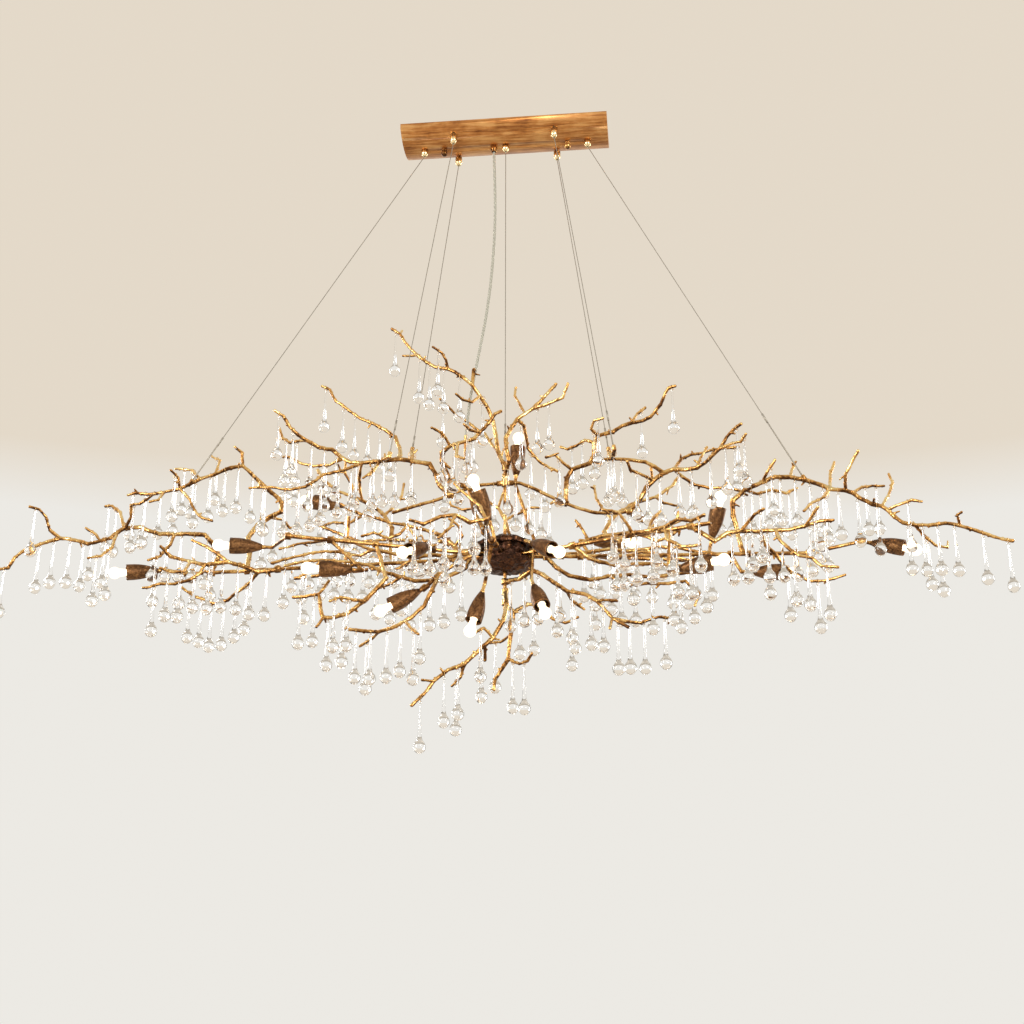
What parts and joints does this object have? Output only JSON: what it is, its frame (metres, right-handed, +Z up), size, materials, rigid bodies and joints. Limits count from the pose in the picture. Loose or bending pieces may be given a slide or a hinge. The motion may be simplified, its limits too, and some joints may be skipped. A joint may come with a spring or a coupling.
{
  "type": "crystal branch chandelier",
  "caption": "Long linear chandelier of gnarled gold-bronze branches hung on thin cables from an arched ceiling canopy, with glowing candle lamps and clear glass teardrops on rings",
  "frame": {"origin": "centre of the ceiling face of the canopy bracket", "axes": "+Z up out of the ceiling face, +X along the canopy and the long way of the branches"},
  "size_m": [1.9811, 0.603, 1.3913],
  "materials": {
    "gold_bronze": "gnarled casting, gold over dark bronze",
    "dark_bronze": "hammered dark bronze",
    "bronze": "satin bronze",
    "bronzed_cover": "streaked bronze-brown lacquer",
    "zinc_steel": "zinc plated",
    "terminal_plastic": "moulded",
    "cable_steel": "stranded wire",
    "clear_cord": "clear sheath over a stranded core",
    "lead_sleeve": "sleeved wire",
    "lit_bulb": "warm glowing bulb",
    "socket_ceramic": "matte",
    "crystal": "clear drawn glass",
    "ring_wire": "bright wire"
  },
  "bodies": {
    "root": {"canopy_cover": "bronzed_cover", "ceiling_bracket": "zinc_steel", "bracket_studs": "zinc_steel", "terminal_block": "terminal_plastic", "canopy_gland": "bronze", "cable_grippers": "bronze", "gripper_nuts": "zinc_steel"},
    "cap_nut_left": {"cap_nut_left": "bronze"},
    "cap_nut_right": {"cap_nut_right": "bronze"},
    "middle_cables": {"middle_cables": "cable_steel", "power_cord": "clear_cord"},
    "front_cables": {"front_cables": "cable_steel"},
    "rear_cables": {"rear_cables": "cable_steel"},
    "frame": {"arch_rods": "gold_bronze", "cable_links": "cable_steel", "cord_conduit": "bronze", "crown_left": "gold_bronze", "crown_right": "gold_bronze", "crown_tall": "gold_bronze", "drop_set_1": "crystal", "drop_set_2": "crystal", "drop_set_3": "crystal", "drop_set_4": "crystal", "drop_set_5": "crystal", "front_limbs": "gold_bronze", "hub_core": "dark_bronze", "hub_cups": "dark_bronze", "hub_terminal": "terminal_plastic", "lamp_arms": "gold_bronze", "lamp_bulbs": "lit_bulb", "lamp_cups": "dark_bronze", "lamp_sockets": "socket_ceramic", "left_lower": "gold_bronze", "left_tip": "gold_bronze", "left_upper": "gold_bronze", "low_centre": "gold_bronze", "low_front": "gold_bronze", "low_left": "gold_bronze", "low_right": "gold_bronze", "middle_left": "gold_bronze", "middle_right": "gold_bronze", "rear_limbs": "gold_bronze", "right_lower": "gold_bronze", "right_tip": "gold_bronze", "ring_set_1": "ring_wire", "ring_set_2": "ring_wire", "ring_set_3": "ring_wire", "spoke_leads": "lead_sleeve", "spoke_rods": "gold_bronze", "stem_cross": "gold_bronze", "stem_rods": "gold_bronze", "upper_right": "gold_bronze"},
    "drop_crown": {"drop_crown": "crystal"},
    "drop_left_low": {"drop_left_low": "crystal"},
    "drop_left_tip": {"drop_left_tip": "crystal"},
    "drop_low_centre": {"drop_low_centre": "crystal"},
    "drop_low_left": {"drop_low_left": "crystal"},
    "drop_low_right": {"drop_low_right": "crystal"},
    "drop_right_low": {"drop_right_low": "crystal"},
    "drop_right_tip": {"drop_right_tip": "crystal"}
  },
  "joints": [
    {"name": "cap_nut_left_turn", "type": "hinge", "parent": "root", "child": "cap_nut_left", "pos_m": [-0.136, 0, -0.038], "axis": [0, 0, 1], "continuous": true},
    {"name": "cap_nut_right_turn", "type": "hinge", "parent": "root", "child": "cap_nut_right", "pos_m": [0.136, 0, -0.038], "axis": [0, 0, 1], "continuous": true},
    {"name": "sway", "type": "hinge", "parent": "root", "child": "middle_cables", "pos_m": [0, 0, -0.046], "axis": [1, 0, 0], "range_deg": [-3, 3]},
    {"name": "front_cable_swing", "type": "hinge", "parent": "root", "child": "front_cables", "pos_m": [0, -0.042, -0.046], "axis": [1, 0, 0], "range_deg": [-3, 3]},
    {"name": "rear_cable_swing", "type": "hinge", "parent": "root", "child": "rear_cables", "pos_m": [0, 0.042, -0.046], "axis": [1, 0, 0], "range_deg": [-3, 3]},
    {"name": "frame_hang", "type": "hinge", "parent": "middle_cables", "child": "frame", "pos_m": [0, 0, -0.724], "axis": [1, 0, 0], "range_deg": [-3, 3]},
    {"name": "drop_crown_swing", "type": "hinge", "parent": "frame", "child": "drop_crown", "pos_m": [-0.23239, 0.0015, -0.48425], "axis": [-0.164, -0.9865, 0], "range_deg": [-15, 15]},
    {"name": "drop_left_low_swing", "type": "hinge", "parent": "frame", "child": "drop_left_low", "pos_m": [-0.66953, -0.1035, -1.06549], "axis": [0.4867, -0.8736, 0], "range_deg": [-15, 15]},
    {"name": "drop_left_tip_swing", "type": "hinge", "parent": "frame", "child": "drop_left_tip", "pos_m": [-0.99601, -0.0678, -1.00702], "axis": [0.2463, -0.9692, 0], "range_deg": [-15, 15]},
    {"name": "drop_low_centre_swing", "type": "hinge", "parent": "frame", "child": "drop_low_centre", "pos_m": [0.12657, 0.045, -1.11564], "axis": [-0.2305, 0.9731, 0], "range_deg": [-15, 15]},
    {"name": "drop_low_left_swing", "type": "hinge", "parent": "frame", "child": "drop_low_left", "pos_m": [-0.15108, -0.0678, -1.29386], "axis": [0.2725, -0.9622, 0], "range_deg": [-15, 15]},
    {"name": "drop_low_right_swing", "type": "hinge", "parent": "frame", "child": "drop_low_right", "pos_m": [0.3082, -0.0105, -1.13223], "axis": [-0.5197, 0.8544, 0], "range_deg": [-15, 15]},
    {"name": "drop_right_low_swing", "type": "hinge", "parent": "frame", "child": "drop_right_low", "pos_m": [0.596, -0.0585, -1.08476], "axis": [-0.3, 0.9539, 0], "range_deg": [-15, 15]},
    {"name": "drop_right_tip_swing", "type": "hinge", "parent": "frame", "child": "drop_right_tip", "pos_m": [0.90972, -0.0465, -0.99667], "axis": [0.116, 0.9932, 0], "range_deg": [-15, 15]}
  ],
  "couplings": [
    {"joint": "front_cable_swing", "follows": "sway", "ratio": 1},
    {"joint": "rear_cable_swing", "follows": "sway", "ratio": 1},
    {"joint": "frame_hang", "follows": "sway", "ratio": -1}
  ]
}
